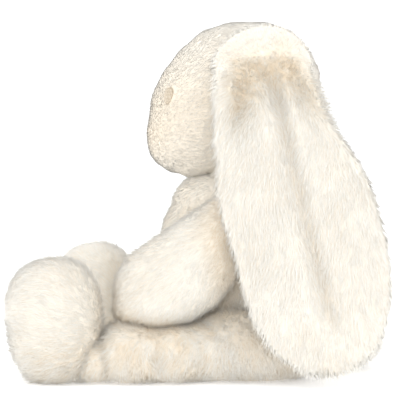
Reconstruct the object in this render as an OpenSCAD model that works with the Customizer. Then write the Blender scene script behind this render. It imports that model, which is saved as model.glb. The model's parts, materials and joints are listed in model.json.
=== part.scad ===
// Sitting plush rabbit with long ears that hang to the ground.
// +Z is up, the rabbit faces -Y and its left side is +X.
// The origin is the middle of the seat, on the surface that it sits on.
// Each padded part is fabric panels sewn round its own stuffing.

/* [Fabric] */
// Thickness of the fur fabric, backing and flattened pile together
skin = 2.6; // [1.6:0.1:3.4]
// Room between the stuffing and the fabric round it
stuffing_room = 1; // [0.9:0.1:1.3]
// Half of the gap left at a seam between two panels, in degrees round the part
seam_half_gap = 0.25; // [0.1:0.05:0.5]

/* [Head] */
// Width of the head, cheek to cheek
head_width = 102; // [96:1:104]
// Length of the head, muzzle to back
head_length = 113; // [108:1:118]
// Height of the head, chin to crown
head_height = 98; // [94:1:102]
// Height of the middle of the head above the ground
head_z = 188; // [188:1:194]
// How far the head leans back over its height
head_lean = 0.18; // [0.1:0.01:0.24]
// Width of the centre panel from the nose over the crown, as a part of the head's width
gusset_share = 0.36; // [0.35:0.01:0.44]
// Radius of the ball of stuffing in the neck
neck_r = 15.5; // [13:0.5:15.5]
// Height of the middle of the neck, where the head nods
neck_z = 137; // [136:0.5:138]

/* [Torso] */
// Width of the torso at the seat
torso_width = 108; // [100:1:110]
// Depth of the torso at the seat
torso_depth = 110; // [104:1:112]
// Height of the torso
torso_height = 136; // [134:1:138]
// Radius of the bag of beans in the seat
pouch_r = 33; // [26:1:35]
// Thickness of the bag of beans
pouch_h = 17; // [12:1:20]
// Radius of the tail
tail_r = 18; // [14:1:20]

/* [Ears] */
// Height of the ear's root above the ground
ear_root_z = 224; // [222:1:226]
// Height of the ear's tip above the ground
ear_tip_z = 11; // [10:1:20]
// Half width of an ear at its root
ear_root_half = 25; // [20:1:26]
// Half width of an ear at its broadest
ear_half = 49; // [40:1:50]

/* [Arms] */
// Length of an arm from the shoulder to the end of the paw
arm_length = 105; // [98:1:106]
// Half thickness of the arm at the shoulder
arm_root_half = 19; // [15:1:20]
// Half thickness of the arm at the paw
paw_half = 26; // [22:1:26]

/* [Legs] */
// Half width of the leg
leg_half = 21; // [18:1:22]
// Thickness of the leg, ground to top
leg_thick = 37; // [32:1:38]
// Height of the foot, heel to toe
foot_height = 78; // [70:1:80]
// Half width of the foot
foot_half = 28; // [24:1:29]

/* [Face] */
// Height of an embroidered eye
eye_height = 11; // [8:1:14]
// Width of the embroidered nose
nose_width = 14; // [10:1:18]
// How far the embroidery stands out from the fabric
thread_proud = 1.2; // [0.8:0.1:1.6]

/* [Hidden] */

fur_colour = "#f3ecdf";
stuffing_colour = "#fbfaf6";
thread_colour = "#c9b393";
pouch_colour = "#ddd8cc";
$fn = 48;

// Rings along a padded part, and points round each ring
rings = 10;
around = 18;
// How far in from a rounded end the first ring lies, as a part of the length
end_ring = 0.008;
// Where the stuffing begins, measured in from the outside of the fabric
fill_inset = skin + stuffing_room;
// Clearance round the neck ball, and where a piece rests on the one below
neck_room = 0.8;
rest_gap = 0.2;

// ---------- Padded shapes ----------
// A padded shape is [spine, half widths, half depths, width direction, end bluntness]:
// a spine of three control points, sizes at its start, middle and end, and an exponent
// for each end, where 2 is an elliptical end and more is blunter.

function bend(v, s) = pow(1 - s, 2) * v[0] + 2 * s * (1 - s) * v[1] + s * s * v[2];
function heading(v, s) = (1 - s) * (v[1] - v[0]) + s * (v[2] - v[1]);
function unit(v) = v / norm(v);
function dome(s, blunt) = sqrt(1 - pow(abs(2 * s - 1), s < 0.5 ? blunt[0] : blunt[1]));
function bulge(x, n) = sign(x) * pow(abs(x), 2 / n);

// Place along the spine of a share u of the way round its end-to-end arc
function along(u) = (1 - cos(180 * u)) / 2;

// Point on a padded shape, inset from its outside, at place s and angle a
function padded_point(shape, s, a, inset, square = [2, 2]) =
    let (spine = shape[0])
    let (margin = inset / norm(spine[2] - spine[0]))
    let (t = margin + s * (1 - 2 * margin))
    let (dir = unit(heading(spine, t)))
    let (side = unit(shape[3] - (shape[3] * dir) * dir))
    let (up = cross(dir, side))
    let (round_off = dome(s, shape[4]))
    let (n = sin(a) < 0 ? square[1] : square[0])
    let (w = (bend(shape[1], t) - inset) * round_off * bulge(cos(a), n))
    let (d = (bend(shape[2], t) - inset) * round_off * bulge(sin(a), n))
    bend(spine, t) + side * w + up * d;

// The same point pressed flat where it would go below a floor
function flattened(p, floor_z) = [p.x, p.y, max(p.z, floor_z)];

// ---------- Solids from a grid of points ----------
// at(u, v, layer) is a point: u runs along, v runs across or round, layer 0 is outside.

function grid(at, us, vs, layer) = [for (u = us) for (v = vs) at(u, v, layer)];
function steps(from, to, count) = [for (i = [0 : count]) from + (to - from) * i / count];
function quad(a, b, c, d) = [[a, c, b], [a, d, c]];
function joined(lists) = [for (list = lists) each list];

// Fabric between two layers: round = true closes it round, capped = true closes its end
module fabric(at, us, vs, round = false, capped = false) {
    nu = len(us);
    nv = round ? len(vs) - 1 : len(vs);
    cols = round ? nv : nv - 1;
    vs_used = [for (j = [0 : nv - 1]) vs[j]];
    under = nu * nv;
    function id(i, j, base) = base + i * nv + j % nv;
    faces = joined([
        joined([for (i = [0 : nu - 2]) for (j = [0 : cols - 1])
            quad(id(i, j, 0), id(i, j + 1, 0), id(i + 1, j + 1, 0), id(i + 1, j, 0))]),
        joined([for (i = [0 : nu - 2]) for (j = [0 : cols - 1])
            quad(id(i, j, under), id(i + 1, j, under), id(i + 1, j + 1, under), id(i, j + 1, under))]),
        joined([for (j = [0 : cols - 1])
            quad(id(0, j + 1, 0), id(0, j, 0), id(0, j, under), id(0, j + 1, under))]),
        capped ? [
            [for (j = [0 : nv - 1]) id(nu - 1, nv - 1 - j, 0)],
            [for (j = [0 : nv - 1]) id(nu - 1, j, under)]
        ] : joined([for (j = [0 : cols - 1])
            quad(id(nu - 1, j, 0), id(nu - 1, j + 1, 0),
                id(nu - 1, j + 1, under), id(nu - 1, j, under))]),
        round ? [] : joined([for (i = [0 : nu - 2])
            quad(id(i, 0, 0), id(i + 1, 0, 0), id(i + 1, 0, under), id(i, 0, under))]),
        round ? [] : joined([for (i = [0 : nu - 2])
            quad(id(i + 1, nv - 1, 0), id(i, nv - 1, 0), id(i, nv - 1, under), id(i + 1, nv - 1, under))])
    ]);
    polyhedron(concat(grid(at, us, vs_used, 0), grid(at, us, vs_used, 1)), faces, 10);
}

// Stuffing: one layer, closed at both ends
module wadding(at, us, vs) {
    nu = len(us);
    nv = len(vs) - 1;
    vs_used = [for (j = [0 : nv - 1]) vs[j]];
    function id(i, j) = i * nv + j % nv;
    faces = joined([
        joined([for (i = [0 : nu - 2]) for (j = [0 : nv - 1])
            quad(id(i, j), id(i, j + 1), id(i + 1, j + 1), id(i + 1, j))]),
        [[for (j = [0 : nv - 1]) id(0, j)], [for (j = [0 : nv - 1]) id(nu - 1, nv - 1 - j)]]
    ]);
    polyhedron(grid(at, us, vs_used, 0), faces, 10);
}

// A panel that runs the whole length of a part between two seams
module side_panel(at, seam_a, seam_b) {
    fabric(
        at,
        steps(end_ring, 1 - end_ring, rings),
        steps(seam_a + seam_half_gap, seam_b - seam_half_gap, around / 2)
    );
}

module full_wadding(at) {
    wadding(at, steps(end_ring, 1 - end_ring, rings), steps(0, 360, around));
}

// ---------- Head ----------
head_mid = [0, 0, head_z];
head_shape = [
    [[-head_width / 2, 0, head_z], head_mid, [head_width / 2, 0, head_z]],
    head_length / 2 * [1, 1, 1],
    head_height / 2 * [1, 1, 1],
    [0, 1, 0],
    [2.2, 2.2]
];
// The crown is round and the chin is squarer
head_square = [2.1, 2.9];

function head_point(s, a, inset) =
    let (p = padded_point(head_shape, s, a, inset, head_square))
    [p.x, p.y + head_lean * (p.z - head_z), p.z];

function head_at(u, v, layer) = head_point(along(u), v, layer * skin);
function head_fill_at(u, v, layer) = head_point(along(u), v, fill_inset);

// Where the gusset's two long seams lie, from 0 at the right cheek to 1 at the left
gusset_from = acos(gusset_share) / 180;
gusset_to = 1 - gusset_from;
gusset_seam = 0.0015;

module neck_hollow(r) {
    translate([0, 0, neck_z])
        sphere(r = r);
}

module head_right_panel() {
    color(fur_colour)
        fabric(
            function (u, v, layer) head_at(u, -v, layer),
            steps(gusset_from - gusset_seam, end_ring, 6),
            steps(0, 360, around),
            round = true,
            capped = true
        );
}

module head_left_panel() {
    color(fur_colour)
        fabric(
            function (u, v, layer) head_at(u, v, layer),
            steps(gusset_to + gusset_seam, 1 - end_ring, 6),
            steps(0, 360, around),
            round = true,
            capped = true
        );
}

module head_gusset() {
    color(fur_colour)
        difference() {
            fabric(
                function (u, v, layer) head_at(u, v, layer),
                steps(gusset_from, gusset_to, 4),
                steps(0, 360, around),
                round = true
            );
            neck_hollow(neck_r + neck_room + 1);
        }
}

module head_stuffing() {
    color(stuffing_colour)
        difference() {
            full_wadding(function (u, v, layer) head_fill_at(u, v, layer));
            neck_hollow(neck_r + neck_room);
        }
}

// ---------- Embroidered face ----------
// Angles round the head from its back: 90 is the crown and 180 the front.
eye_angle = 178;
eye_place = 0.86;
nose_angle = 200;
mouth_angle = 216;
stitch_gap = 0.15;

// A satin-stitch pad on the head: middle [s, a], half height in degrees, half width in s
module embroidery(middle, half_angle, half_width) {
    color(thread_colour)
        fabric(
            function (u, v, layer) head_point(
                middle[0] + half_width * u * cos(v),
                middle[1] - half_angle * u * sin(v),
                -stitch_gap - thread_proud * (1 - layer) * sqrt(1 - 0.8 * u * u)
            ),
            [1, 0.66, 0.3, 0.02],
            steps(0, 360, 16),
            round = true,
            capped = true
        );
}

degrees_per_mm = 360 / (PI * (head_length + head_height) / 2);
eye_half_angle = eye_height / 2 * degrees_per_mm;
eye_half_width = 0.022;
nose_half_width = nose_width / 2 / head_width;
nose_half_angle = nose_width * 0.32 * degrees_per_mm;

module left_eye() {
    embroidery([eye_place, eye_angle], eye_half_angle, eye_half_width);
}

module right_eye() {
    embroidery([1 - eye_place, eye_angle], eye_half_angle, eye_half_width);
}

module nose() {
    embroidery([0.5, nose_angle], nose_half_angle, nose_half_width);
}

module mouth() {
    embroidery([0.5, mouth_angle], 5, 0.012);
}

// ---------- Ears ----------
ear_sheet_gap = 0.15;
ear_spine = [[45.5, 17, ear_root_z], [97, 52, (ear_root_z + ear_tip_z) / 2], [87, 69, ear_tip_z]];
// How far the ear's edges curl in towards the body at its broadest
ear_curl = 5;

function ear_half_width(s) =
    bend([ear_root_half, ear_half * 1.26, ear_half], s) * sqrt(1.002 - pow(s, 8));

function ear_point(s, across, off) =
    let (mid = bend(ear_spine, s))
    let (dir = unit(heading(ear_spine, s)))
    let (side = unit([0, 1, 0] - dir.y * dir))
    let (out = cross(side, dir) * -1)
    let (curl = ear_curl * across * across * sin(180 * s))
    mid + side * across * ear_half_width(s) + out * (off - curl);

module ear_layer(near, far) {
    color(fur_colour)
        fabric(
            function (u, v, layer) ear_point(u, v, layer == 0 ? far : near),
            [for (i = [0 : 12]) sin(90 * i / 12)],
            steps(1, -1, 8)
        );
}

module ear_outer() {
    ear_layer(ear_sheet_gap, ear_sheet_gap + skin);
}

module ear_inner() {
    ear_layer(-ear_sheet_gap - skin, -ear_sheet_gap);
}

module left_ear_outer() {
    ear_outer();
}

module left_ear_inner() {
    ear_inner();
}

module right_ear_outer() {
    mirror([1, 0, 0])
        ear_outer();
}

module right_ear_inner() {
    mirror([1, 0, 0])
        ear_inner();
}

// ---------- Torso ----------
// The spine starts below the ground so that the seat comes out flat.
torso_sink = 10;
torso_shape = [
    [[0, 2, -torso_sink], [0, 3, torso_height / 2], [0, -4, torso_height]],
    [torso_width / 2, torso_width * 0.43, 29],
    [torso_depth / 2, torso_depth * 0.58, 30],
    [1, 0, 0],
    [5, 5]
];
seat_z = skin + rest_gap;
torso_span = torso_height + torso_sink;
// Places where the three panels meet the seat panel below and the neck above
torso_from = acos(1 - 2 * (seat_z + torso_sink) / torso_span) / 180;
torso_to = acos(1 - 2 * (torso_span - 9) / torso_span) / 180;

function torso_at(u, v, layer) =
    flattened(padded_point(torso_shape, along(u), v, layer * skin), seat_z);
function torso_fill_at(u, v, layer) =
    flattened(padded_point(torso_shape, along(u), v, fill_inset), seat_z);

module torso_panel(seam_a, seam_b, cols) {
    color(fur_colour)
        fabric(
            function (u, v, layer) torso_at(u, v, layer),
            steps(torso_from, torso_to, rings),
            steps(seam_a + seam_half_gap, seam_b - seam_half_gap, cols)
        );
}

module torso_front_panel() {
    torso_panel(205, 335, 9);
}

module torso_left_panel() {
    torso_panel(-25, 90, 8);
}

module torso_right_panel() {
    torso_panel(90, 205, 8);
}

// Half sizes of the flat seat
seat_half = [44, 45];

module seat_panel() {
    color(fur_colour)
        linear_extrude(skin)
            polygon([for (a = [0 : 10 : 350]) [seat_half.x * cos(a), seat_half.y * sin(a)]]);
}

module bean_pouch() {
    color(pouch_colour)
        translate([0, 0, seat_z + rest_gap])
            rotate_extrude()
                polygon([
                    [0, 0],
                    [pouch_r - 5, 0],
                    [pouch_r, pouch_h * 0.35],
                    [pouch_r, pouch_h * 0.65],
                    [pouch_r - 6, pouch_h],
                    [0, pouch_h]
                ]);
}

module torso_stuffing() {
    color(stuffing_colour)
        difference() {
            full_wadding(function (u, v, layer) torso_fill_at(u, v, layer));
            neck_hollow(neck_r + rest_gap);
            translate([0, 0, -1])
                cylinder(r = pouch_r + rest_gap, h = seat_z + pouch_h + 2 * rest_gap + 1);
        }
}

module neck_stuffing() {
    color(stuffing_colour)
        neck_hollow(neck_r);
}

// Ladder stitches that draw the head down onto the neck
neck_stitch_count = 16;
neck_stitch_r = 0.8;
neck_stitch_ring = 22.4;
neck_stitch_base = neck_z - 7.4;
neck_stitch_length = 4;

module neck_stitching() {
    color(thread_colour)
        for (i = [0 : neck_stitch_count - 1])
            rotate([0, 0, i * 360 / neck_stitch_count])
                translate([neck_stitch_ring, 0, neck_stitch_base])
                    cylinder(r = neck_stitch_r, h = neck_stitch_length);
}

// Hand-sewn stitches that close the back of the torso
closing_from = 0.3;
closing_to = 0.5;
closing_count = 8;

module closing_stitches() {
    color(thread_colour)
        for (i = [0 : closing_count - 1])
            let (u0 = closing_from + (closing_to - closing_from) * i / closing_count)
                fabric(
                    function (u, v, layer) padded_point(
                        torso_shape, along(u), v, -stitch_gap - 0.9 * (1 - layer)
                    ),
                    [u0, u0 + 0.008],
                    steps(86.5, 93.5, 2)
                );
}

// ---------- Tail ----------
tail_mid = [0, torso_depth / 2 + tail_r + 7, tail_r + 6];
tail_shape = [
    [tail_mid - [0, tail_r, 0], tail_mid, tail_mid + [0, tail_r, 0]],
    tail_r * [1, 1, 1],
    tail_r * [1, 1, 1],
    [1, 0, 0],
    [2, 2]
];

module tail_fur() {
    color(fur_colour)
        fabric(
            function (u, v, layer) padded_point(tail_shape, along(u), v, layer * skin),
            steps(0.14, 1 - end_ring, 8),
            steps(0, 360, 16),
            round = true,
            capped = true
        );
}

module tail_stuffing() {
    color(stuffing_colour)
        translate(tail_mid)
            sphere(r = tail_r - fill_inset);
}

// ---------- Arms ----------
shoulder = [50, 9, 124];
elbow_reach = [20, -26, -62];
paw_reach = unit([8, -78, -67]) * arm_length;
arm_shape = [
    [shoulder, shoulder + elbow_reach, shoulder + paw_reach],
    [arm_root_half * 0.8, paw_half * 0.85, paw_half - 2],
    [arm_root_half, paw_half + 1, paw_half],
    [1, 0, 0],
    [2.3, 2.6]
];

function arm_at(u, v, layer) = padded_point(arm_shape, along(u), v, layer * skin);

module arm_outer() {
    color(fur_colour)
        side_panel(function (u, v, layer) arm_at(u, v, layer), -90, 90);
}

module arm_inner() {
    color(fur_colour)
        side_panel(function (u, v, layer) arm_at(u, v, layer), 90, 270);
}

module arm_stuffing() {
    color(stuffing_colour)
        full_wadding(function (u, v, layer) padded_point(arm_shape, along(u), v, fill_inset));
}

module left_arm_outer() {
    arm_outer();
}

module left_arm_inner() {
    arm_inner();
}

module left_arm_stuffing() {
    arm_stuffing();
}

module right_arm_outer() {
    mirror([1, 0, 0])
        arm_outer();
}

module right_arm_inner() {
    mirror([1, 0, 0])
        arm_inner();
}

module right_arm_stuffing() {
    mirror([1, 0, 0])
        arm_stuffing();
}

// ---------- Legs ----------
leg_mid_z = leg_thick / 2;
leg_shape = [
    [[58, -25, leg_mid_z], [62, -52, leg_mid_z], [70, -80, leg_mid_z]],
    [leg_half - 1, leg_half, leg_half + 1],
    leg_thick / 2 * [1, 1, 1.06],
    [1, 0, 0],
    [2.4, 5]
];

module leg_panel(seam_a, seam_b) {
    color(fur_colour)
        side_panel(
            function (u, v, layer) flattened(
                padded_point(leg_shape, along(u), v, layer * skin), layer * skin + 0.01
            ),
            seam_a,
            seam_b
        );
}

module leg_stuffing() {
    color(stuffing_colour)
        full_wadding(function (u, v, layer) flattened(
            padded_point(leg_shape, along(u), v, fill_inset), fill_inset
        ));
}

module left_leg_upper() {
    leg_panel(180, 360);
}

module left_leg_under() {
    leg_panel(0, 180);
}

module left_leg_stuffing() {
    leg_stuffing();
}

module right_leg_upper() {
    mirror([1, 0, 0])
        leg_panel(180, 360);
}

module right_leg_under() {
    mirror([1, 0, 0])
        leg_panel(0, 180);
}

module right_leg_stuffing() {
    mirror([1, 0, 0])
        leg_stuffing();
}

// ---------- Feet ----------
foot_sink = 4;
foot_shape = [
    [[73, -110, -foot_sink], [73, -109, foot_height / 2], [73, -107, foot_height]],
    [foot_half - 2, foot_half + 1, foot_half - 2],
    [foot_half - 2, foot_half + 4, foot_half - 1],
    [1, 0, 0],
    [3.2, 2.7]
];

module foot_panel(seam_a, seam_b) {
    color(fur_colour)
        side_panel(
            function (u, v, layer) flattened(
                padded_point(foot_shape, along(u), v, layer * skin), layer * skin
            ),
            seam_a,
            seam_b
        );
}

module foot_stuffing() {
    color(stuffing_colour)
        full_wadding(function (u, v, layer) flattened(
            padded_point(foot_shape, along(u), v, fill_inset), fill_inset
        ));
}

module left_foot_sole() {
    foot_panel(180, 360);
}

module left_foot_upper() {
    foot_panel(0, 180);
}

module left_foot_stuffing() {
    foot_stuffing();
}

module right_foot_sole() {
    mirror([1, 0, 0])
        foot_panel(180, 360);
}

module right_foot_upper() {
    mirror([1, 0, 0])
        foot_panel(0, 180);
}

module right_foot_stuffing() {
    mirror([1, 0, 0])
        foot_stuffing();
}

head_left_panel();
head_gusset();
head_right_panel();
head_stuffing();
left_eye();
right_eye();
nose();
mouth();
left_ear_outer();
left_ear_inner();
right_ear_outer();
right_ear_inner();
torso_front_panel();
torso_left_panel();
torso_right_panel();
seat_panel();
torso_stuffing();
neck_stuffing();
bean_pouch();
neck_stitching();
closing_stitches();
tail_fur();
tail_stuffing();
left_arm_outer();
left_arm_inner();
left_arm_stuffing();
right_arm_outer();
right_arm_inner();
right_arm_stuffing();
left_leg_upper();
left_leg_under();
left_leg_stuffing();
right_leg_upper();
right_leg_under();
right_leg_stuffing();
left_foot_sole();
left_foot_upper();
left_foot_stuffing();
right_foot_sole();
right_foot_upper();
right_foot_stuffing();
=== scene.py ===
import itertools
import json
import math

import bpy
import numpy as np
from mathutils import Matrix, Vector
from mathutils.bvhtree import BVHTree


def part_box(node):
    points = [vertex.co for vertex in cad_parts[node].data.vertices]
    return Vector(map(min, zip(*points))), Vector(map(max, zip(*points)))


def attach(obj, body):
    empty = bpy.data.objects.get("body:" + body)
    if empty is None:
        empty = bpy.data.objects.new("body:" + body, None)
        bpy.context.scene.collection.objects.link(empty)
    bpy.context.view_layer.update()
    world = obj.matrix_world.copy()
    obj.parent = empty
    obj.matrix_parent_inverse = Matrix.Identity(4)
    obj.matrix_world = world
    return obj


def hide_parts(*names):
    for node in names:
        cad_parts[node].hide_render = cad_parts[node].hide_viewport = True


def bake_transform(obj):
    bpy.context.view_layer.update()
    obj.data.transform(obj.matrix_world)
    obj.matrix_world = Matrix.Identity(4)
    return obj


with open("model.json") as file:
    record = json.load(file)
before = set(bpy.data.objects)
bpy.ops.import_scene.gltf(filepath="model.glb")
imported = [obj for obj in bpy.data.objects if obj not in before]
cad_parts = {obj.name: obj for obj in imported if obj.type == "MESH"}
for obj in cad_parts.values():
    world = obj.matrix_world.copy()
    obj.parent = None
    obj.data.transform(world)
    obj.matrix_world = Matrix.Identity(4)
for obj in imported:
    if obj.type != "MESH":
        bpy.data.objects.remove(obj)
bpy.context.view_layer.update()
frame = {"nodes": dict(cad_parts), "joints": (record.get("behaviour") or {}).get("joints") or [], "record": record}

MM = 0.001
BODY_NODES = frame["record"]["behaviour"]["bodies"]
NODES = frame["nodes"]
JOINTS = {joint["name"]: joint for joint in frame["joints"]}
UP = np.array((0.0, 0.0, 1.0))


# ---------- Numbers ----------

# Factors that scramble the bits of a cell's place and of a seed
PLACE_FACTORS = (73856093, 19349663, 83492791)
SEED_FACTOR, SEED_START = 40503, 977
FIRST_SCRAMBLE, SECOND_SCRAMBLE = 1274126177, 668265263
LOW_31_BITS, LOW_20_BITS = 0x7FFFFFFF, 0xFFFFF


def hashed(cells, seed):
    """A repeatable number from 0 to 1 for each row of whole numbers."""
    columns = cells.astype(np.int64).T
    h = seed * SEED_FACTOR + SEED_START
    for column, factor in zip(columns, PLACE_FACTORS):
        h = h ^ (column * factor)
    h = ((h ^ (h >> 13)) * FIRST_SCRAMBLE) & LOW_31_BITS
    h = ((h ^ (h >> 15)) * SECOND_SCRAMBLE) & LOW_31_BITS
    return ((h ^ (h >> 11)) & LOW_20_BITS) / LOW_20_BITS


def noise(points, size, seed):
    """Smooth noise from -1 to 1, with lumps about size across."""
    cell = np.floor(points / size)
    part = points / size - cell
    part = part * part * (3 - 2 * part)
    total = np.zeros(len(points))
    for corner in itertools.product((0, 1), repeat=3):
        weight = np.prod(np.where(corner, part, 1 - part), axis=1)
        total += weight * hashed(cell + corner, seed)
    return 2 * total - 1


def clump_centres(points, size, seed):
    """The nearest of a scatter of points about size apart, for each point."""
    home = np.floor(points / size)
    best = np.full(len(points), np.inf)
    centres = np.zeros_like(points)
    for step in itertools.product((-1, 0, 1), repeat=3):
        cell = home + step
        spot = (cell + np.stack([hashed(cell, seed + k) for k in range(3)], axis=1)) * size
        gap = ((spot - points) ** 2).sum(axis=1)
        nearer = gap < best
        best[nearer] = gap[nearer]
        centres[nearer] = spot[nearer]
    return centres


def unit(vectors):
    """The vectors, each made one long."""
    return vectors / np.maximum(np.linalg.norm(vectors, axis=-1, keepdims=True), 1e-9)


def along_surface(vectors, normals):
    """The part of each vector that lies in the surface."""
    return vectors - (vectors * normals).sum(axis=1, keepdims=True) * normals


def ramp(values, low, high):
    """0 below low, 1 above high, and a smooth rise between them."""
    t = np.clip((values - low) / (high - low), 0, 1)
    return t * t * (3 - 2 * t)


def bump(values, middle, half_width):
    """1 at the middle, falling smoothly to almost nothing two half widths away."""
    return np.exp(-(((values - middle) / half_width) ** 2))


def middle(node):
    """The middle of a CAD node's box."""
    low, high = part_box(node)
    return np.array((low + high) / 2)


# ---------- Meshes ----------

# How far each turn of relax() moves a point towards the middle of its neighbours, or away from it
DRAW_IN, PUSH_OUT = 0.6, -0.58


def new_object(name, data):
    """An object of a mesh, light or camera, linked to the scene."""
    made = bpy.data.objects.new(name, data)
    bpy.context.scene.collection.objects.link(made)
    return made


def mesh_points(mesh):
    points = np.empty(len(mesh.vertices) * 3)
    mesh.vertices.foreach_get("co", points)
    return points.reshape(-1, 3)


def mesh_edges(mesh):
    edges = np.empty(len(mesh.edges) * 2, int)
    mesh.edges.foreach_get("vertices", edges)
    return edges.reshape(-1, 2)


def mesh_normals(mesh):
    normals = np.empty(len(mesh.vertices) * 3)
    mesh.vertex_normals.foreach_get("vector", normals)
    return normals.reshape(-1, 3)


def set_points(mesh, points):
    mesh.vertices.foreach_set("co", points.ravel())
    mesh.update()


def relax(mesh, rounds):
    """Evens out the facets of the CAD solid, drawing in and pushing out by turns to keep the size."""
    edges = mesh_edges(mesh)
    points = mesh_points(mesh)
    count = np.bincount(edges.ravel(), minlength=len(points))[:, None]
    for share in (DRAW_IN, PUSH_OUT) * rounds:
        total = np.zeros_like(points)
        np.add.at(total, edges[:, 0], points[edges[:, 1]])
        np.add.at(total, edges[:, 1], points[edges[:, 0]])
        points = points + share * (total / count - points)
    set_points(mesh, points)


def joined(nodes):
    """The points and the faces of some CAD nodes, each as one list."""
    points, faces = [], []
    for name in nodes:
        mesh = NODES[name].data
        base = len(points)
        points += [tuple(v.co) for v in mesh.vertices]
        faces += [tuple(base + i for i in p.vertices) for p in mesh.polygons]
    return points, faces


def search_tree(nodes):
    """A search tree over the surfaces of some CAD nodes."""
    return BVHTree.FromPolygons(*joined(nodes))


def merged_copy(nodes, extra=()):
    """One mesh holding copies of CAD nodes, and any extra (points, faces)."""
    points, faces = joined(nodes)
    for more_points, more_faces in extra:
        base = len(points)
        points += [tuple(p) for p in more_points]
        faces += [tuple(base + i for i in face) for face in more_faces]
    mesh = bpy.data.meshes.new("merged")
    mesh.from_pydata(points, [], faces)
    return mesh


def ellipsoid(centre, half, rings=12, around=20):
    """The points and faces of an ellipsoid, which fills a hollow before the remesh."""
    points = [centre + half * UP, centre - half * UP]
    for i in range(1, rings):
        polar = math.pi * i / rings
        for j in range(around):
            turn = 2 * math.pi * j / around
            way = (math.sin(polar) * math.cos(turn), math.sin(polar) * math.sin(turn), math.cos(polar))
            points.append(centre + half * np.array(way))

    def at(i, j):
        return 2 + i * around + j % around

    faces = [(0, at(0, j), at(0, j + 1)) for j in range(around)]
    faces += [(1, at(rings - 2, j + 1), at(rings - 2, j)) for j in range(around)]
    for i in range(rings - 2):
        faces += [(at(i, j), at(i + 1, j), at(i + 1, j + 1), at(i, j + 1)) for j in range(around)]
    return points, faces


def remeshed(mesh, voxel):
    """The mesh as one closed skin of even squares."""
    holder = new_object("holder", mesh)
    step = holder.modifiers.new("even", "REMESH")
    step.mode = "VOXEL"
    step.voxel_size = voxel
    bpy.context.view_layer.update()
    graph = bpy.context.evaluated_depsgraph_get()
    result = bpy.data.meshes.new_from_object(holder.evaluated_get(graph))
    bpy.data.objects.remove(holder)
    return result


# ---------- Pile ----------
# A tuft is a three-sided spike: three points round its root, and its tip.

TUFT_POINTS = 4
TUFT_FACES = [(0, 1, 3), (1, 2, 3), (2, 0, 3), (2, 1, 0)]
ROOT_DEPTH = 0.6 * MM
# A tuft's thickness as a share of its width
TUFT_THICKNESS = 0.8
# How much of the crisp shading of a tuft's sides is left at its tip
TIP_CRISPNESS = 0.5
# The least and most that a tuft's length and width differ from the piece's own
LENGTH_SPREAD = (0.75, 1.2)
WIDTH_SPREAD = (0.8, 1.25)
# The least and most that pile leans, where 0 stands up and 1 lies flat
LEAN_LIMITS = (0.05, 1.1)
# How much the length differs between clumps, and the heading and the warmth between tufts
CLUMP_SPREAD = 0.15
HEADING_SPREAD = 0.15
WARMTH_SPREAD = 0.12
# A push to the side that lets even an upright tuft have sides
NUDGE = 1e-4
# The size of the drifts in which the pile sways to the side
SWAY_SIZE = 16 * MM
# How much painted shade, in the roots' colour, lies where another body is near the pile, and how far off that
# starts
CONTACT_SHADE = 0.75
CONTACT_SHADE_REACH = 22 * MM
# Painted shade: the skin under the pile is coloured as if at this height in it, and is this much warmer
SKIN_HEIGHT = 0.4
SKIN_SHADE_WARMTH = 0.3
# No pile hangs lower than this
TABLE_GAP = 0.3 * MM
# Points tried for each cell of the grid that thins them, and a number above any count of cells across
TRIES_PER_CELL = 4.5
KEY_STEP = 4096
# The margin round a face in its cell of the UV map, and the height there of a tuft's hidden base
CELL_MARGIN = 0.15
BASE_HEIGHT = 0.1


def scatter(mesh, spacing, rng):
    """Points spread evenly over a skin, with their normals."""
    mesh.calc_loop_triangles()
    corners = np.empty(len(mesh.loop_triangles) * 3, int)
    mesh.loop_triangles.foreach_get("vertices", corners)
    corners = corners.reshape(-1, 3)
    points, normals = mesh_points(mesh), mesh_normals(mesh)
    a, b, c = (points[corners[:, k]] for k in range(3))
    area = np.linalg.norm(np.cross(b - a, c - a), axis=1) / 2
    wanted = int(TRIES_PER_CELL * area.sum() / spacing ** 2)
    pick = rng.choice(len(area), wanted, p=area / area.sum())
    u, v = rng.random(wanted), rng.random(wanted)
    over = u + v > 1
    u[over], v[over] = 1 - u[over], 1 - v[over]
    share = np.stack([1 - u - v, u, v], axis=1)[:, :, None]
    spots = (points[corners[pick]] * share).sum(axis=1)
    facing = unit((normals[corners[pick]] * share).sum(axis=1))
    cells = np.floor(spots / spacing).astype(np.int64)
    key = (cells[:, 0] * KEY_STEP + cells[:, 1]) * KEY_STEP + cells[:, 2]
    _, first = np.unique(key, return_index=True)
    return spots[first], facing[first]


def contact_shade(spots, bodies):
    """Painted shade near other bodies: 1 where they meet the pile, falling to 0 at the reach of that shade."""
    tree = search_tree([node for body in bodies for node in BODY_NODES[body]])
    far = 2 * CONTACT_SHADE_REACH
    gaps = np.array([tree.find_nearest(Vector(spot), far)[3] or far for spot in spots])
    return 1 - ramp(gaps, 0, CONTACT_SHADE_REACH)


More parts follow.
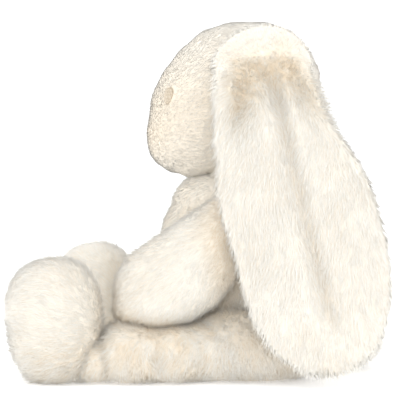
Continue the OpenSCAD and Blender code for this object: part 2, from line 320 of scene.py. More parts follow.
def grow_pile(skin, style, rng):
    """The points, shading normals, height in the pile and warmth of every tuft on a skin."""
    spots, normals = scatter(skin, style["spacing"], rng)
    keep = style["keep"](spots, normals)
    spots, normals = spots[keep], normals[keep]
    count = len(spots)
    seed, clump = style["seed"], style["clump"]
    drift = np.stack([noise(spots, SWAY_SIZE, seed + k) for k in range(3)], axis=1)
    flow = unit(along_surface(style["flow"](spots, normals) + style["sway"] * drift, normals))
    length = style["length"](spots, normals) * rng.uniform(*LENGTH_SPREAD, count)
    lean = style["lean"](spots, normals) + style["scruff"] * rng.standard_normal(count)
    lean = np.clip(lean, *LEAN_LIMITS)[:, None]
    pull = along_surface(clump_centres(spots, clump, seed) - spots, normals)
    length = (length * (1 + CLUMP_SPREAD * noise(spots, clump, seed + 9)))[:, None]
    jitter = along_surface(rng.standard_normal((count, 3)), normals)

    rise = np.radians(90) * lean
    heading = unit(np.cos(rise) * normals + np.sin(rise) * flow + HEADING_SPREAD * jitter)
    tips = spots + length * heading + style["gather"](spots, normals)[:, None] * pull

    heading = unit(tips - spots)
    side = unit(np.cross(heading, normals) + NUDGE * jitter)
    back = np.cross(heading, side)
    wide = (style["width"] * rng.uniform(*WIDTH_SPREAD, count))[:, None] / 2
    crisp = style["crisp"](spots, normals)[:, None]
    points = np.empty((count, TUFT_POINTS, 3))
    shading = np.empty_like(points)
    for k in range(3):
        turn = math.radians(90 + 120 * k)
        round_off = math.cos(turn) * side + TUFT_THICKNESS * math.sin(turn) * back
        points[:, k] = spots - ROOT_DEPTH * normals + wide * round_off
        shading[:, k] = unit(normals + crisp * round_off)
    points[:, 3] = tips
    shading[:, 3] = unit(normals + TIP_CRISPNESS * crisp * heading)
    height = np.tile([0, 0, 0, 1.0], (count, 1))
    # Painted shade, in the roots' colour, is added near the bodies listed beside.
    warmth = style["warmth"](spots, normals) + CONTACT_SHADE * contact_shade(spots, style["beside"])
    warmth = np.clip(warmth + WARMTH_SPREAD * rng.standard_normal(count), 0, 1)
    return points, shading, height, np.repeat(warmth, TUFT_POINTS)


def skin_faces(skin):
    """Where each face of a skin starts in the list of corners, and that list."""
    starts = np.empty(len(skin.polygons), int)
    skin.polygons.foreach_get("loop_start", starts)
    corners = np.empty(len(skin.loops), int)
    skin.loops.foreach_get("vertex_index", corners)
    return starts, corners


def within_cell(places):
    """Places in a unit square, drawn in from the square's edges."""
    return CELL_MARGIN + (1 - 2 * CELL_MARGIN) * np.array(places, float)


def furred_faces(skin, count):
    """The starts, corners and UV places of the faces of a skin and of count tufts.

    The UV map is a square grid, where each face of the skin has a cell and so has each tuft."""
    skin_starts, skin_corners = skin_faces(skin)
    sizes = np.diff(np.append(skin_starts, len(skin_corners)))
    columns = int(math.ceil(math.sqrt(count + len(sizes))))

    def cell(index):
        return np.stack([index % columns, index // columns], axis=-1)

    square = within_cell([(0, 0), (1, 0), (1, 1), (0, 1)])
    turn = np.arange(len(skin_corners)) - np.repeat(skin_starts, sizes)
    starts, corners = [skin_starts], [skin_corners]
    uvs = [cell(np.repeat(np.arange(len(sizes)), sizes)) + square[turn % 4]]

    tuft_starts = len(skin.vertices) + TUFT_POINTS * np.arange(count)
    tuft_cells = cell(len(sizes) + np.arange(count))
    offset = len(skin_corners)
    for k, face in enumerate(TUFT_FACES):
        # The three sides stand next to each other in the cell, and the base lies after them.
        top = 1 if k < 3 else BASE_HEIGHT
        strip = within_cell([(k / 4, 0), ((k + 1) / 4, 0), ((k + 0.5) / 4, top)])
        starts.append(offset + len(face) * np.arange(count))
        corners.append((tuft_starts[:, None] + np.array(face)).ravel())
        uvs.append((tuft_cells[:, None, :] + strip[None]).reshape(-1, 2))
        offset += len(face) * count
    return np.concatenate(starts), np.concatenate(corners), np.concatenate(uvs) / columns


def furred(name, skin, style):
    """A piece made of a padded skin and the pile that stands on it."""
    rng = np.random.default_rng(style["seed"])
    skin_points, skin_normals = mesh_points(skin), mesh_normals(skin)
    tufts, shading, height, warmth = grow_pile(skin, style, rng)
    starts, corners, uvs = furred_faces(skin, len(tufts))
    points = np.concatenate([skin_points, tufts.reshape(-1, 3)])
    points[:, 2] = np.maximum(points[:, 2], TABLE_GAP)

    mesh = bpy.data.meshes.new(name)
    mesh.vertices.add(len(points))
    mesh.vertices.foreach_set("co", points.ravel())
    mesh.loops.add(len(corners))
    mesh.loops.foreach_set("vertex_index", corners)
    mesh.polygons.add(len(starts))
    mesh.polygons.foreach_set("loop_start", starts)
    layer = mesh.uv_layers.new(name="OFBake")
    layer.data.foreach_set("uv", uvs.ravel())
    mesh.update(calc_edges=True)
    mesh.shade_smooth()
    normals = np.concatenate([skin_normals, shading.reshape(-1, 3)])
    mesh.normals_split_custom_set_from_vertices(normals.tolist())
    # Painted shade on the skin under the pile: it is coloured as if partway up the pile, and warmer.
    skin_height = np.full(len(skin_points), SKIN_HEIGHT)
    skin_warmth = np.clip(style["warmth"](skin_points, skin_normals) + SKIN_SHADE_WARMTH, 0, 1)
    for title, values in (
        ("pile_height", np.concatenate([skin_height, height.ravel()])),
        ("pile_warmth", np.concatenate([skin_warmth, warmth])),
    ):
        attribute = mesh.attributes.new(title, "FLOAT", "POINT")
        attribute.data.foreach_set("value", values.astype(np.float32))
    bpy.data.meshes.remove(skin)
    return new_object(name, mesh)


# ---------- Materials ----------

class Shader:
    """A Principled material whose nodes are added by short calls."""

    def __init__(self, name):
        self.material = bpy.data.materials.new(name)
        self.material.use_nodes = True
        self.tree = self.material.node_tree
        self.surface = self.tree.nodes["Principled BSDF"]

    def set(self, **values):
        """Sets sockets of the shader by name, as in sheen_weight=0.2."""
        for name, value in values.items():
            socket = name.replace("_", " ").title().replace("Ior", "IOR")
            self.surface.inputs[socket].default_value = value

    def node(self, kind, links=(), **values):
        """Adds a node. Values named with a capital go to its sockets, and the others are settings."""
        made = self.tree.nodes.new("ShaderNode" + kind)
        for key, value in values.items():
            if key[0].isupper():
                made.inputs[key.replace("_", " ")].default_value = value
            else:
                setattr(made, key, value)
        for socket, source in dict(links).items():
            self.tree.links.new(source, made.inputs[socket])
        return made

    def ramp(self, source, stops):
        """Colours a value by (place, colour) stops."""
        made = self.node("ValToRGB", {"Fac": source})
        elements = made.color_ramp.elements
        while len(elements) < len(stops):
            elements.new(0.5)
        for element, (place, colour) in zip(elements, stops):
            element.position = place
            element.color = (*colour, 1)
        return made.outputs["Color"]

    def grey(self, source, low, high):
        """Turns a value from 0 to 1 into a grey from low to high."""
        return self.ramp(source, [(0, (low,) * 3), (1, (high,) * 3)])

    def mix(self, share, a, b, blend="MIX"):
        """Mixes two colours, each of which may be a number triple or another node's output."""
        made = self.node("Mix", data_type="RGBA", blend_type=blend)
        for socket, value in ((0, share), (6, a), (7, b)):
            if hasattr(value, "is_output"):
                self.tree.links.new(value, made.inputs[socket])
            else:
                made.inputs[socket].default_value = value if socket == 0 else (*value, 1)
        return made.outputs[2]

    def colour(self, source):
        self.tree.links.new(source, self.surface.inputs["Base Color"])

    def roughness(self, source):
        self.tree.links.new(source, self.surface.inputs["Roughness"])

    def bump(self, source, distance, strength=1.0):
        made = self.node("Bump", {"Height": source}, Distance=distance, Strength=strength)
        self.tree.links.new(made.outputs["Normal"], self.surface.inputs["Normal"])


def pile_material(name, tip, body, root, deep):
    """Plush pile with painted shade: warm and darker at the roots, pale at the tips, with drifts of slightly
    different cream.
    """
    shader = Shader(name)
    place = shader.node("TexCoord").outputs["Object"]
    height = shader.node("Attribute", attribute_name="pile_height").outputs["Fac"]
    warmth = shader.node("Attribute", attribute_name="pile_warmth").outputs["Fac"]
    # Painted shade: both ramps are darker and warmer at the roots, deep in the pile, than at the tips.
    pale_ramp = shader.ramp(height, [(0, body), (1, tip)])
    warm_and_shaded = shader.ramp(height, [(0, deep), (1, root)])
    drift = shader.node("TexNoise", {"Vector": place}, Scale=38.0, Detail=3.0, Roughness=0.6)
    strand = shader.node("TexNoise", {"Vector": place}, Scale=900.0, Detail=2.0, Roughness=0.6)
    # Where warmth is high the warmer, darker ramp is mixed in, as random tone in some places and painted shade in
    # others.
    shade = shader.mix(warmth, pale_ramp, warm_and_shaded)
    shade = shader.mix(0.5, shade, shader.grey(drift.outputs["Fac"], 0.96, 1.0), "MULTIPLY")
    shade = shader.mix(0.6, shade, shader.grey(strand.outputs["Fac"], 0.93, 1.0), "MULTIPLY")
    shader.colour(shade)
    shader.roughness(shader.grey(strand.outputs["Fac"], 0.78, 0.95))
    shader.bump(strand.outputs["Fac"], 0.3 * MM, 0.35)
    shader.set(sheen_weight=0.25, sheen_roughness=0.5, specular_ior_level=0.12)
    shader.surface.inputs["Sheen Tint"].default_value = (1.0, 0.97, 0.92, 1)
    return shader.material


def thread_material(name, light, dark, twist=1400.0):
    """Twisted thread with a soft satin gloss."""
    shader = Shader(name)
    place = shader.node("TexCoord").outputs["Object"]
    plies = shader.node(
        "TexWave", {"Vector": place}, Scale=twist, Distortion=1.5, bands_direction="DIAGONAL"
    )
    drift = shader.node("TexNoise", {"Vector": place}, Scale=420.0, Detail=2.0)
    shade = shader.mix(drift.outputs["Fac"], dark, light)
    shade = shader.mix(0.6, shade, shader.grey(plies.outputs["Fac"], 0.7, 1.0), "MULTIPLY")
    shader.colour(shade)
    shader.roughness(shader.grey(drift.outputs["Fac"], 0.45, 0.62))
    shader.bump(plies.outputs["Fac"], 0.12 * MM, 0.6)
    shader.set(sheen_weight=0.15, sheen_roughness=0.35)
    return shader.material


def cloth_material(name, light, dark):
    """Plain woven cotton: two sets of threads that cross."""
    shader = Shader(name)
    place = shader.node("TexCoord").outputs["Object"]
    warp = shader.node("TexWave", {"Vector": place}, Scale=900.0, Distortion=0.4, bands_direction="X")
    weft = shader.node("TexWave", {"Vector": place}, Scale=900.0, Distortion=0.4, bands_direction="Y")
    drift = shader.node("TexNoise", {"Vector": place}, Scale=90.0, Detail=4.0)
    weave = shader.mix(0.5, warp.outputs["Color"], weft.outputs["Color"])
    shade = shader.mix(0.4, shader.mix(drift.outputs["Fac"], dark, light), weave, "MULTIPLY")
    shader.colour(shade)
    shader.roughness(shader.grey(drift.outputs["Fac"], 0.8, 0.95))
    shader.bump(weave, 0.15 * MM, 0.7)
    return shader.material


FUR = pile_material(
    "cream_fur",
    tip=(0.98, 0.965, 0.915),
    body=(0.965, 0.93, 0.85),
    root=(0.95, 0.88, 0.76),
    deep=(0.84, 0.69, 0.50),
)
# The head's pile lies flat, so it gets more light and is a little darker to make up for it
HEAD_FUR = pile_material(
    "head_fur",
    tip=(0.92, 0.905, 0.86),
    body=(0.905, 0.87, 0.795),
    root=(0.89, 0.82, 0.71),
    deep=(0.80, 0.66, 0.48),
)
EYE_THREAD = thread_material("embroidery_thread", light=(0.86, 0.77, 0.64), dark=(0.56, 0.46, 0.33))
SEWING_THREAD = thread_material(
    "sewing_thread", light=(0.86, 0.80, 0.70), dark=(0.66, 0.58, 0.47), twist=1800.0
)
POUCH_CLOTH = cloth_material("pouch_cloth", light=(0.82, 0.79, 0.72), dark=(0.66, 0.62, 0.55))


def dress(piece, material):
    """Gives a piece one material."""
    piece.data.materials.clear()
    piece.data.materials.append(material)


# ---------- Plush pieces ----------
# A trait of the pile that changes over a piece is a function of its points and normals.

# How far the stuffing pushes a skin out
PUFF = 1.2 * MM


def everywhere(points, normals):
    return np.ones(len(points), bool)


def steady(value):
    return lambda points, normals: np.full(len(points), float(value))


def varied(value):
    """The value as a function of points and normals."""
    return value if callable(value) else steady(value)


def style(seed, flow, length, spacing=1.2, width=0.7, lean=0.6, clump=9, gather=0.25, crisp=1.6,
          keep=everywhere, warmth=steady(0.15), beside=(), sway=0.35, scruff=0.1):
    """How the pile lies on a piece.

    Length, spacing, width and the size of a clump are in millimetres. Pile leans along flow, from 0
    for upright to 1 for flat, and sways from it in drifts. Scruff is how much the lean differs
    between tufts. Gather draws the tips together in clumps. Crisp shades the sides of each tuft
    apart. Warmth mixes in the roots' warmer colours, as random tone and as painted shade, and
    beside lists the bodies near which shade is painted on the pile."""
    lengths = varied(length)
    return {
        "seed": seed,
        "flow": flow,
        "length": lambda points, normals: lengths(points, normals) * MM,
        "spacing": spacing * MM,
        "width": width * MM,
        "clump": clump * MM,
        "lean": varied(lean),
        "gather": varied(gather),
        "crisp": varied(crisp),
        "keep": keep,
        "warmth": warmth,
        "beside": beside,
        "sway": sway,
        "scruff": scruff,
    }


def toward(*direction):
    """Pile that is stroked one way all over."""
    way = np.array(direction, float)
    return lambda points, normals: np.tile(way, (len(points), 1))


def away_from(centre, *more):
    """Pile that spreads from a point, and also leans one way."""
    way = np.array(more or (0, 0, 0), float)
    return lambda points, normals: unit(points - centre) + way


def padded_skin(nodes, voxel=3.2, rounds=6, extra=(), sculpt=None):
    """The closed skin round some CAD nodes and extra solids: even, relaxed, puffed and sculpted."""
    skin = remeshed(merged_copy(nodes, extra), voxel * MM)
    relax(skin, rounds)
    set_points(skin, mesh_points(skin) + PUFF * mesh_normals(skin))
    if sculpt:
        set_points(skin, sculpt(mesh_points(skin), mesh_normals(skin)))
    return skin


def finish_plush(piece, nodes, fur=FUR):
    """Gives a piece its fur, and hides the CAD nodes that it stands for."""
    dress(piece, fur)
    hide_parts(*nodes)


PANEL_KINDS = ("outer", "inner", "upper", "under", "sole", "stuffing")


def panel_nodes(prefix):
    """The panels and the stuffing of a limb."""
    return [name for name in NODES if name.startswith(prefix) and name.split("_")[-1] in PANEL_KINDS]


HEAD_NODES = ["head_left_panel", "head_gusset", "head_right_panel", "head_stuffing"]
FACE_NODES = ["left_eye", "right_eye", "nose", "mouth"]


def off_face(points, room):
    """False where a point lies under the embroidery or within room of it."""
    trees = [search_tree([node]) for node in FACE_NODES]
    keep = np.ones(len(points), bool)
    for i in np.flatnonzero(points[:, 1] < middle("head_stuffing")[1]):
        keep[i] = all(tree.find_nearest(Vector(points[i]), room)[3] is None for tree in trees)
    return keep


def make_head():
    low, high = (np.array(c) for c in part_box("head_gusset"))
    muzzle = middle("nose")
    # A ball fills the hollow over the neck, so that the underside of the head is closed.
    ball = ellipsoid(middle("neck_stuffing") + np.array((0, 0, 6 * MM)), 20 * MM * np.ones(3))

    def sculpt(points, normals):
        # The jaw is full, the brow runs back a little flatter, the crown rises and the chin hangs low.
        height = (points[:, 2] - low[2]) / (high[2] - low[2])
        front = ramp(-normals[:, 1], 0.1, 0.7)
        jaw = bump(height, 0.13, 0.13) * front
        brow = bump(height, 0.72, 0.16) * front
        crown = ramp(height, 0.85, 1.0)
        chin = ramp(-normals[:, 2], 0.1, 0.8) * bump(points[:, 1], -27 * MM, 26 * MM)
        shaped = points + normals * ((4.0 * jaw - 2.0 * brow + 2.2 * crown) * MM)[:, None]
        shaped[:, 2] -= 7.5 * MM * chin
        return shaped

    skin = padded_skin(HEAD_NODES, extra=[ball], sculpt=sculpt)

    def length(points, normals):
        behind = ramp(points[:, 1], low[1] + 10 * MM, high[1] - 25 * MM)
        return 4.0 + 3.0 * behind

    piece = furred("head_plush", skin, style(
        11, away_from(muzzle, 0, 0.5, 0), length,
        lean=lambda p, n: 0.84 + 0.1 * np.abs(n[:, 2]),
        crisp=lambda p, n: 0.8 + 1.0 * np.clip(n[:, 2], 0, 1),
        warmth=lambda p, n: 0.5 - 0.5 * np.abs(n[:, 2]) + 0.08 * noise(p, 20 * MM, 3),
        keep=lambda p, n: off_face(p, 0.3 * MM),
        gather=0.0, clump=6, width=0.62, sway=0.1, scruff=0.0, beside=["torso"],
    ))
    finish_plush(piece, HEAD_NODES, HEAD_FUR)
    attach(piece, "head")


TORSO_NODES = ["torso_front_panel", "torso_left_panel", "torso_right_panel", "seat_panel",
               "torso_stuffing", "neck_stuffing"]


def make_torso():
    # The chest and shoulders rise into the underside of the head.
    neck = ellipsoid(middle("neck_stuffing") + np.array((0, -5, -22)) * MM, np.array((38, 34, 24)) * MM)
    # The hips are broad and run forward into the legs.
    hip_half = np.array((25, 48, 23)) * MM
    hips = [ellipsoid(np.array((50 * sign, 14, 21)) * MM, hip_half) for sign in (1, -1)]
    # The back is hollow where the raised tail rests.
    tail_rest, tail_room = middle("tail_fur") + np.array((0, -24, 24)) * MM, 24 * MM

    def sculpt(points, normals):
        # The chest is full under the chin, and the belly is round.
        chest = bump(points[:, 2], 104 * MM, 20 * MM) * ramp(-normals[:, 1], 0, 0.8)
        hollow = np.exp(-((points - tail_rest) ** 2).sum(axis=1) / tail_room ** 2)
        belly = bump(points[:, 2], 48 * MM, 30 * MM) * ramp(-normals[:, 1], -0.3, 0.6)
        return points + normals * ((4.5 * chest + 3.5 * belly - 4.0 * hollow) * MM)[:, None]

    def shaggy(points):
        """0 on the chest and back, 1 round the hips."""
        return ramp(95 * MM - points[:, 2], 0, 30 * MM) * ramp(np.abs(points[:, 0]), 25 * MM, 45 * MM)

    def length(points, normals):
        return 4.5 + 2.0 * shaggy(points)

    def warmth(points, normals):
        speckle = shaggy(points) * (0.1 + 0.2 * noise(points, 7 * MM, 15))
        return 0.15 + 0.2 * noise(points, 15 * MM, 5) + speckle

    skin = padded_skin(TORSO_NODES, rounds=20, extra=[neck, *hips], sculpt=sculpt)
    piece = furred("torso_plush", skin, style(
        21, toward(0, 0.1, -1), length,
        lean=lambda p, n: 0.82 - 0.2 * shaggy(p),
        gather=lambda p, n: 0.1 + 0.25 * shaggy(p),
        warmth=warmth, spacing=1.28, clump=6, sway=0.3,
        beside=["left_arm", "right_arm", "left_leg", "right_leg", "left_ear", "right_ear"],
    ))
    finish_plush(piece, TORSO_NODES)
    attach(piece, "torso")


def make_tail():
    nodes = ["tail_fur", "tail_stuffing"]
    # The pile spreads from a point in the body above the tail, and is shorter on that side.
    source = middle("tail_fur") + np.array((0, -0.03, 0.02))
    piece = furred("tail_plush", padded_skin(nodes, voxel=2.5), style(
        31, away_from(source, 0, 0.4, 0), lambda p, n: 9.0 - 4.0 * ramp(-n[:, 1], 0, 0.6),
        lean=0.65, gather=0.3,
    ))
    finish_plush(piece, nodes)
    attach(piece, "tail")


def edges_by_height(points, slices=24):
    """The front and back edges of a hanging ear, as functions of height."""
    heights = np.linspace(points[:, 2].min(), points[:, 2].max(), slices)
    # Each slice reaches a little past its neighbours' middles.
    band = (heights[1] - heights[0]) * 1.2
    near = [points[np.abs(points[:, 2] - z) < band, 1] for z in heights]
    front = np.array([y.min() for y in near])
    back = np.array([y.max() for y in near])
    return (lambda z: np.interp(z, heights, front)), (lambda z: np.interp(z, heights, back))


def make_ear(side, sign, seed):
    nodes = [f"{side}_ear_outer", f"{side}_ear_inner"]
    low, high = (np.array(c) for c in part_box(nodes[0]))
    root = np.array(JOINTS[f"{side}_ear_lift"]["pos_m"])
    # The crease starts just behind the middle of the root and runs down and back.
    crease_start, crease_run = root[1] + 5 * MM, 56 * MM
    furrow_inset = 15 * MM
    # The ear rises out of the head in a rounded shoulder before it turns down.
    shoulder = ellipsoid(root + np.array((1.0 * sign, 8, -13)) * MM, np.array((8.5, 35, 22)) * MM)
    skin = padded_skin(nodes, voxel=2.6, rounds=9, extra=[shoulder])
    front, back = edges_by_height(mesh_points(skin))
    # Its outline from the side is trimmed to this dome.
    dome = root + np.array((0.0, 8, -25)) * MM
    dome_half = np.array((0.0, 36, 34)) * MM

    def drop_of(points):
        """0 at the top of the ear, and 1 at its tip."""
        return (high[2] - points[:, 2]) / (high[2] - low[2])

    def crease_at(points, half_width):
        """1 in the long crease, fading out at both ends."""
        drop = drop_of(points)
        fade = ramp(drop, 0.08, 0.2) * (1 - ramp(drop, 0.75, 0.95))
        return bump(points[:, 1], crease_start + crease_run * drop, half_width) * fade

    def centre_line(points):
        """How far back the middle of the ear is at each point's height."""
        return (front(points[:, 2]) + back(points[:, 2])) / 2

    def inset(points):
        """How far in from the ear's front, top and back edges a point lies, rounded at the corners."""
        z = points[:, 2]
        # The top counts for less than the sides, so the furrow lies further down from it.
        top = 0.63 * (root[2] + 13 * MM - z)
        edges = np.stack([points[:, 1] - front(z), back(z) - points[:, 1], top])
        rounded = (np.maximum(edges, 1 * MM) ** -2).sum(axis=0) ** -0.5
        return rounded + 1.5 * MM * noise(points, 8 * MM, seed)

    def furrow_at(points, half_width):
        """1 in the furrow where the pile parts, which follows the edges of the ear's upper third."""
        return bump(inset(points), furrow_inset, half_width) * (1 - ramp(drop_of(points), 0.2, 0.34))

    def sculpt(points, normals):
        outward = np.clip(normals[:, 0] * sign, 0, 1)
        depth = 4.5 * MM * crease_at(points, 8 * MM) + 1.5 * MM * furrow_at(points, 7 * MM)
        # The lining is flatter where the ear hangs over the arm.
        inward = np.clip(-normals[:, 0] * sign, 0, 1) * bump(points[:, 2], 92 * MM, 32 * MM)
        shaped = points - normals * (outward * depth + inward * 2.5 * MM)[:, None]
        # The top is trimmed to the dome, and the back edge is drawn in, most of all near the top.
        drop = drop_of(points)
        rise = np.clip((points[:, 2] - dome[2]) / dome_half[2], 0, 1)
        reach = dome_half[1] * np.sqrt(1 - rise ** 2)
        trimmed = np.clip(shaped[:, 1], dome[1] - reach, dome[1] + reach)
        shaped[:, 1] = np.where(rise > 0, trimmed, shaped[:, 1])
        past_centre = points[:, 1] - centre_line(points)
        draw_in = 2.8 * (1 - ramp(drop, 0.82, 0.95)) + 8.5 * bump(drop, 0.26, 0.12)
        shaped[:, 1] -= ramp(past_centre, 0, 30 * MM) * MM * draw_in
        # The lower front edge slants back towards the tip.
        shaped[:, 1] += 6 * MM * ramp(-past_centre, 0, 25 * MM) * ramp(drop, 0.48, 0.72)
        return shaped

    def flow(points, normals):
        # The pile hangs down and a little outwards, and on the rim above the furrow it stands up and out.
        drop = np.clip(drop_of(points), 0, 1)
        centre = np.stack([points[:, 0], centre_line(points), points[:, 2]], axis=1)
        outward = (points - centre) / (40 * MM)
        rim = (1 - ramp(inset(points), furrow_inset - 5 * MM, furrow_inset)) * (1 - ramp(drop, 0.1, 0.3))
        up_and_out = outward * 1.3 + UP * (1.6 * (1 - ramp(drop, 0.02, 0.12)) - 0.5)[:, None]
        down = -UP + outward * (0.1 + 0.5 * ramp(drop, 0.75, 1))[:, None]
        return down * (1 - rim)[:, None] + up_and_out * rim[:, None]

    def warmth(points, normals):
        # Painted shade in the roots' warm colour lies in speckles in the furrow, where the pile parts, and a
        # little in the crease.
        outside = np.clip(normals[:, 0] * sign * 2, 0, 1)
        speckle = 0.6 + 0.6 * noise(points, 1.4 * MM, 8) + 0.2 * noise(points, 5 * MM, 9)
        furrow = furrow_at(points, 5 * MM) * speckle
        furrow *= 1 - 0.7 * ramp(points[:, 1], 40 * MM, 52 * MM)
        crease_and_furrow_shade = 0.3 * crease_at(points, 4 * MM) + 0.8 * furrow
        return 0.08 + 0.1 * noise(points, 18 * MM, 7) + outside * crease_and_furrow_shade

    def length(points, normals):
        drop = drop_of(points)
        lining = ramp(-normals[:, 0] * sign, 0.2, 0.7)
        return (8.0 - 4.0 * (1 - ramp(drop, 0.03, 0.2))) * (1 - 0.45 * lining)

    def lean(points, normals):
        # The pile stands up where it parts.
        drop = drop_of(points)
        shoulder = 0.08 * (1 - ramp(drop, 0.06, 0.16))
        return 0.85 + 0.05 * ramp(drop, 0.7, 0.9) - shoulder - 0.62 * furrow_at(points, 5 * MM)

    set_points(skin, sculpt(mesh_points(skin), mesh_normals(skin)))
    piece = furred(f"{side}_ear_plush", skin, style(
        seed, flow, length, lean=lean, warmth=warmth, gather=0.12, clump=6, crisp=1.2,
    ))
    finish_plush(piece, nodes)
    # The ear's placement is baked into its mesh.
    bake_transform(piece)


def make_arm(side, seed):
    nodes = panel_nodes(f"{side}_arm")
    low, high = (np.array(c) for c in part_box(f"{side}_arm_outer"))

    def sculpt(points, normals):
        # The paw is heavy and sags onto the lap, and the upper arm is full in front.
        sag = ramp(-normals[:, 2], 0.0, 0.8) * ramp(high[2] - points[:, 2], 30 * MM, 60 * MM)
        front = ramp(-normals[:, 1], 0.2, 0.9) * bump(points[:, 2], 92 * MM, 18 * MM)
        knuckles = bump(points[:, 1], low[1], 14 * MM)
        return points + normals * ((5.0 * sag + 2.5 * front + 2.0 * knuckles) * MM)[:, None]

    def warmth(points, normals):
        # Painted shade: the upper, back part of the arm, near the ear and the body, is warmer.
        elbow_shade = 0.25 * ramp(points[:, 1] + 20 * MM, 0, 25 * MM)
        return 0.1 + 0.12 * noise(points, 16 * MM, 9) + elbow_shade

    piece = furred(f"{side}_arm_plush", padded_skin(nodes, sculpt=sculpt), style(
        seed, toward(0, -0.75, -0.65), 5.6, lean=0.77, gather=0.12, clump=6, warmth=warmth,
        beside=["torso", f"{side}_leg", f"{side}_ear"],
    ))
    finish_plush(piece, nodes)
    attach(piece, f"{side}_arm")


def make_leg(side, sign, seed):
    nodes = panel_nodes(f"{side}_leg")
    low, high = (np.array(c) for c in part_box(f"{side}_leg_upper"))
    # The thigh runs back into the hip and forward behind the foot, so that no gap opens.
    hip = np.array((sign * 58, high[1] / MM + 15, 19)) * MM
    thigh = ellipsoid(hip, np.array((18, 50, 19)) * MM)
    knee = ellipsoid(np.array((sign * 61, high[1] / MM - 9, 18.5)) * MM, np.array((21.5, 28, 18.5)) * MM)
    ankle = ellipsoid(np.array((sign * 66, low[1] / MM - 4, 14)) * MM, np.array((20, 16, 14)) * MM)

    def sculpt(points, normals):
        # The paw presses the lap down, and the leg in front of the hip is full on its outer side.
        lap = ramp(normals[:, 2], 0.3, 0.9) * bump(points[:, 1], -45 * MM, 22 * MM)
        outer = ramp(sign * normals[:, 0], 0.1, 0.8) * (1 - ramp(points[:, 1], -30 * MM, 0))
        return points + normals * ((3.0 * outer - 1.0 * lap) * MM)[:, None]

    def warmth(points, normals):
        return 0.28 + 0.25 * noise(points, 8 * MM, 10) + 0.35 * noise(points, 2.5 * MM, 14)

    skin = padded_skin(nodes, extra=[thigh, knee, ankle], sculpt=sculpt)
    piece = furred(f"{side}_leg_plush", skin, style(
        seed, toward(0.3 * sign, -0.5, -1.0), 7.0, spacing=1.3, width=0.6, lean=0.6, sway=0.9,
        gather=0.4, clump=4, crisp=2.0, warmth=warmth, beside=["torso", f"{side}_arm"],
    ))
    finish_plush(piece, nodes)
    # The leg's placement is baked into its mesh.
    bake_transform(piece)


def make_foot(side, seed):
    nodes = panel_nodes(f"{side}_foot")
    low, high = (np.array(c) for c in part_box(f"{side}_foot_sole"))
    ankle = middle(f"{side}_leg_upper")

    def sculpt(points, normals):
        # The foot is a ball, full over the toes, flatter behind and drawn in where it meets the ground.
        height = points[:, 2]
        toes = bump(height, 58 * MM, 24 * MM) * ramp(-normals[:, 1], 0.1, 0.8)
        top = ramp(normals[:, 2], 0.2, 0.9) * bump(points[:, 1], low[1] + 25 * MM, 22 * MM)
        back = bump(height, 45 * MM, 25 * MM) * ramp(normals[:, 1], 0.2, 0.8)
        shaped = points + normals * ((5.5 * toes + 1.6 * top - 2.0 * back) * MM)[:, None]
        under = np.clip(1 - height / (26 * MM), 0, 1) ** 2
        shaped[:, 1] += 9.5 * MM * under * ramp((low[1] + high[1]) / 2 - points[:, 1], 0, 25 * MM)
        return shaped

    def ragged(points):
        """1 near the ground, where the pile is shaggy."""
        return 1 - ramp(points[:, 2], 12 * MM, 42 * MM)

    def warmth(points, normals):
        # Painted shade: a warmer band at the heel, where the foot meets the leg.
        heel_shade = 0.3 * bump(points[:, 1], ankle[1] - 22 * MM, 8 * MM)
        speckle = ragged(points) * (0.1 + 0.35 * noise(points, 2.5 * MM, 16))
        return 0.12 + 0.12 * noise(points, 18 * MM, 12) + heel_shade + speckle

    piece = furred(f"{side}_foot_plush", padded_skin(nodes, sculpt=sculpt), style(
        seed, away_from(ankle, 0, 0, -0.3), lambda p, n: 6.0 + ragged(p),
        lean=lambda p, n: 0.78 - 0.18 * ragged(p),
        gather=lambda p, n: 0.12 + 0.25 * ragged(p),
        clump=5, crisp=1.9, warmth=warmth, beside=["torso", f"{side}_arm"],
    ))
    finish_plush(piece, nodes)
    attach(piece, f"{side}_leg")


# ---------- Embroidery ----------

# A direction that no thread runs along
OFF_THREAD = np.array((0.3, 0.2, 0.93))
# How far outside the head a search for the embroidery starts, and how far in it looks
CLEAR_OF_HEAD, SEARCH_DEPTH = 0.02, 0.05
# How deep the ends of a stitch go into the pad
STITCH_END_DEPTH = 0.4 * MM
STITCH_POINTS = 9
# How much thicker a thread is than the room that it has, so that no gap shows
THREAD_OVERLAP = 1.15


def swept_threads(name, routes, radius, around=6):
    """One mesh of round threads, each swept along its own short route."""
    points, faces = [], []
    for route in routes:
        route = np.array(route, float)
        ahead = unit(np.gradient(route, axis=0))
        side = unit(np.cross(ahead, OFF_THREAD))
        other = np.cross(ahead, side)
        base = len(points)
        for i, place in enumerate(route):
            for j in range(around):
                turn = 2 * math.pi * j / around
                points.append(place + radius * (math.cos(turn) * side[i] + math.sin(turn) * other[i]))
        for i in range(len(route) - 1):
            for j in range(around):
                a, b = base + i * around + j, base + i * around + (j + 1) % around
                faces.append((a, b, b + around, a + around))
        faces.append(tuple(base + j for j in reversed(range(around))))
        faces.append(tuple(base + (len(route) - 1) * around + j for j in range(around)))
    mesh = bpy.data.meshes.new(name)
    mesh.from_pydata([tuple(p) for p in points], [], faces)
    mesh.shade_smooth()
    return new_object(name, mesh)


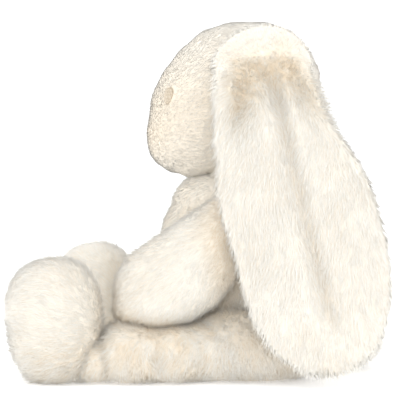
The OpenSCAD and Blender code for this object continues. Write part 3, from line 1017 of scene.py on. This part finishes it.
def satin_patch(name, node, proud, count):
    """Satin stitches side by side over a CAD embroidery pad, which stand proud in their middle."""
    tree = search_tree([node])
    centre = Vector(middle(node))
    head = Vector(middle("head_stuffing"))
    out = (centre - head).normalized()
    up = (Vector((0, 0, 1)) - out * out.z).normalized()
    across = up.cross(out)
    low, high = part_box(node)
    tall = (high.z - low.z) / 2 / max(up.z, 0.3)
    corners = [Vector(c) for c in itertools.product(*zip(low, high))]
    wide = max(abs((c - centre).dot(across)) for c in corners)
    routes = []
    for i in range(count):
        level = -1 + (2 * i + 1) / count
        reach = wide * math.sqrt(1 - level * level)
        route = []
        for k in range(STITCH_POINTS):
            t = 2 * k / (STITCH_POINTS - 1) - 1
            start = centre + up * (tall * level) + across * (t * reach) + out * CLEAR_OF_HEAD
            hit = tree.ray_cast(start, -out, SEARCH_DEPTH)[0]
            if hit is None:
                hit = tree.find_nearest(start - out * CLEAR_OF_HEAD)[0]
            lift = proud * (1 - t ** 4) - STITCH_END_DEPTH * t ** 4
            route.append(hit + out * lift)
        routes.append(route)
    piece = swept_threads(name, routes, THREAD_OVERLAP * tall / count)
    dress(piece, EYE_THREAD)
    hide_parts(node)
    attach(piece, "head")


# ---------- Stage, light and camera ----------

WHITE = (1.0, 1.0, 1.0, 1)
WORLD_STRENGTH = 1.38
FLOOR_HALF = 6.0
FLOOR_GREYS = (0.83, 0.85)
FLOOR_GLOW = 0.32
# The lamps, named as the camera sees them: each one's place from the toy's middle, and its watts
LAMPS = {
    "top": ((0.3, 0.0, 1.4), 1.1),
    "front": ((1.3, -0.1, 0.1), 0.4),
    "left": ((0.9, -0.9, 0.0), 0.9),
    "right": ((0.9, 0.9, 0.2), 1.0),
}
LAMP_SIZE = 0.8
LAMP_COLOUR = (1.0, 0.99, 0.97)
LAMP_TARGET = Vector((0, -0.02, 0.12))
# The camera looks at the toy's left side
CAMERA_TARGET = Vector((0, -0.024, 0.1165))
AZIMUTH, ELEVATION = math.radians(96.5), math.radians(2)
DISTANCE = 0.95
LENS, SENSOR = 122.1, 36.0


def make_stage():
    world = bpy.data.worlds.new("studio")
    bpy.context.scene.world = world
    world.use_nodes = True
    background = world.node_tree.nodes["Background"]
    background.inputs["Color"].default_value = WHITE
    background.inputs["Strength"].default_value = WORLD_STRENGTH
    mesh = bpy.data.meshes.new("floor")
    corners = [(x * FLOOR_HALF, y * FLOOR_HALF, 0) for x, y in ((-1, -1), (1, -1), (1, 1), (-1, 1))]
    mesh.from_pydata(corners, [], [(0, 1, 2, 3)])
    floor = new_object("studio_floor", mesh)
    shader = Shader("studio_paper")
    place = shader.node("TexCoord").outputs["Object"]
    grain = shader.node("TexNoise", {"Vector": place}, Scale=60.0)
    shader.colour(shader.grey(grain.outputs["Fac"], *FLOOR_GREYS))
    # The table glows a little, which keeps the shadow under the toy faint.
    shader.set(roughness=1.0, specular_ior_level=0.0, emission_strength=FLOOR_GLOW, emission_color=WHITE)
    dress(floor, shader.material)


def make_lights():
    for name, (offset, power) in LAMPS.items():
        light = bpy.data.lights.new(name, "AREA")
        light.shape = "DISK"
        light.size = LAMP_SIZE
        light.energy = power
        light.color = LAMP_COLOUR
        lamp = new_object(name, light)
        lamp.location = LAMP_TARGET + Vector(offset)
        lamp.rotation_euler = (LAMP_TARGET - lamp.location).to_track_quat("-Z", "Y").to_euler()


def make_camera():
    data = bpy.data.cameras.new("camera")
    data.lens, data.sensor_width = LENS, SENSOR
    data.clip_start, data.clip_end = 0.01, 50
    camera = new_object("camera", data)
    level = math.cos(ELEVATION)
    back = Vector((math.sin(AZIMUTH) * level, -math.cos(AZIMUTH) * level, math.sin(ELEVATION)))
    camera.location = CAMERA_TARGET + DISTANCE * back
    camera.rotation_euler = (-back).to_track_quat("-Z", "Y").to_euler()
    bpy.context.scene.camera = camera


# ---------- The whole scene ----------

make_stage()
make_lights()
make_camera()
bpy.context.scene.view_settings.view_transform = "Standard"

make_head()
make_torso()
make_tail()
# The side, which way it lies along X, and the number that its pieces' seeds start from
for side, sign, seed in (("left", 1, 100), ("right", -1, 200)):
    make_ear(side, sign, seed + 1)
    make_arm(side, seed + 2)
    make_leg(side, sign, seed + 3)
    make_foot(side, seed + 4)
    satin_patch(f"{side}_eye_stitches", f"{side}_eye", proud=1.6 * MM, count=12)
satin_patch("nose_stitches", "nose", proud=1.4 * MM, count=10)
satin_patch("mouth_stitches", "mouth", proud=1.2 * MM, count=5)
dress(NODES["neck_stitching"], SEWING_THREAD)
dress(NODES["closing_stitches"], SEWING_THREAD)
dress(NODES["bean_pouch"], POUCH_CLOTH)
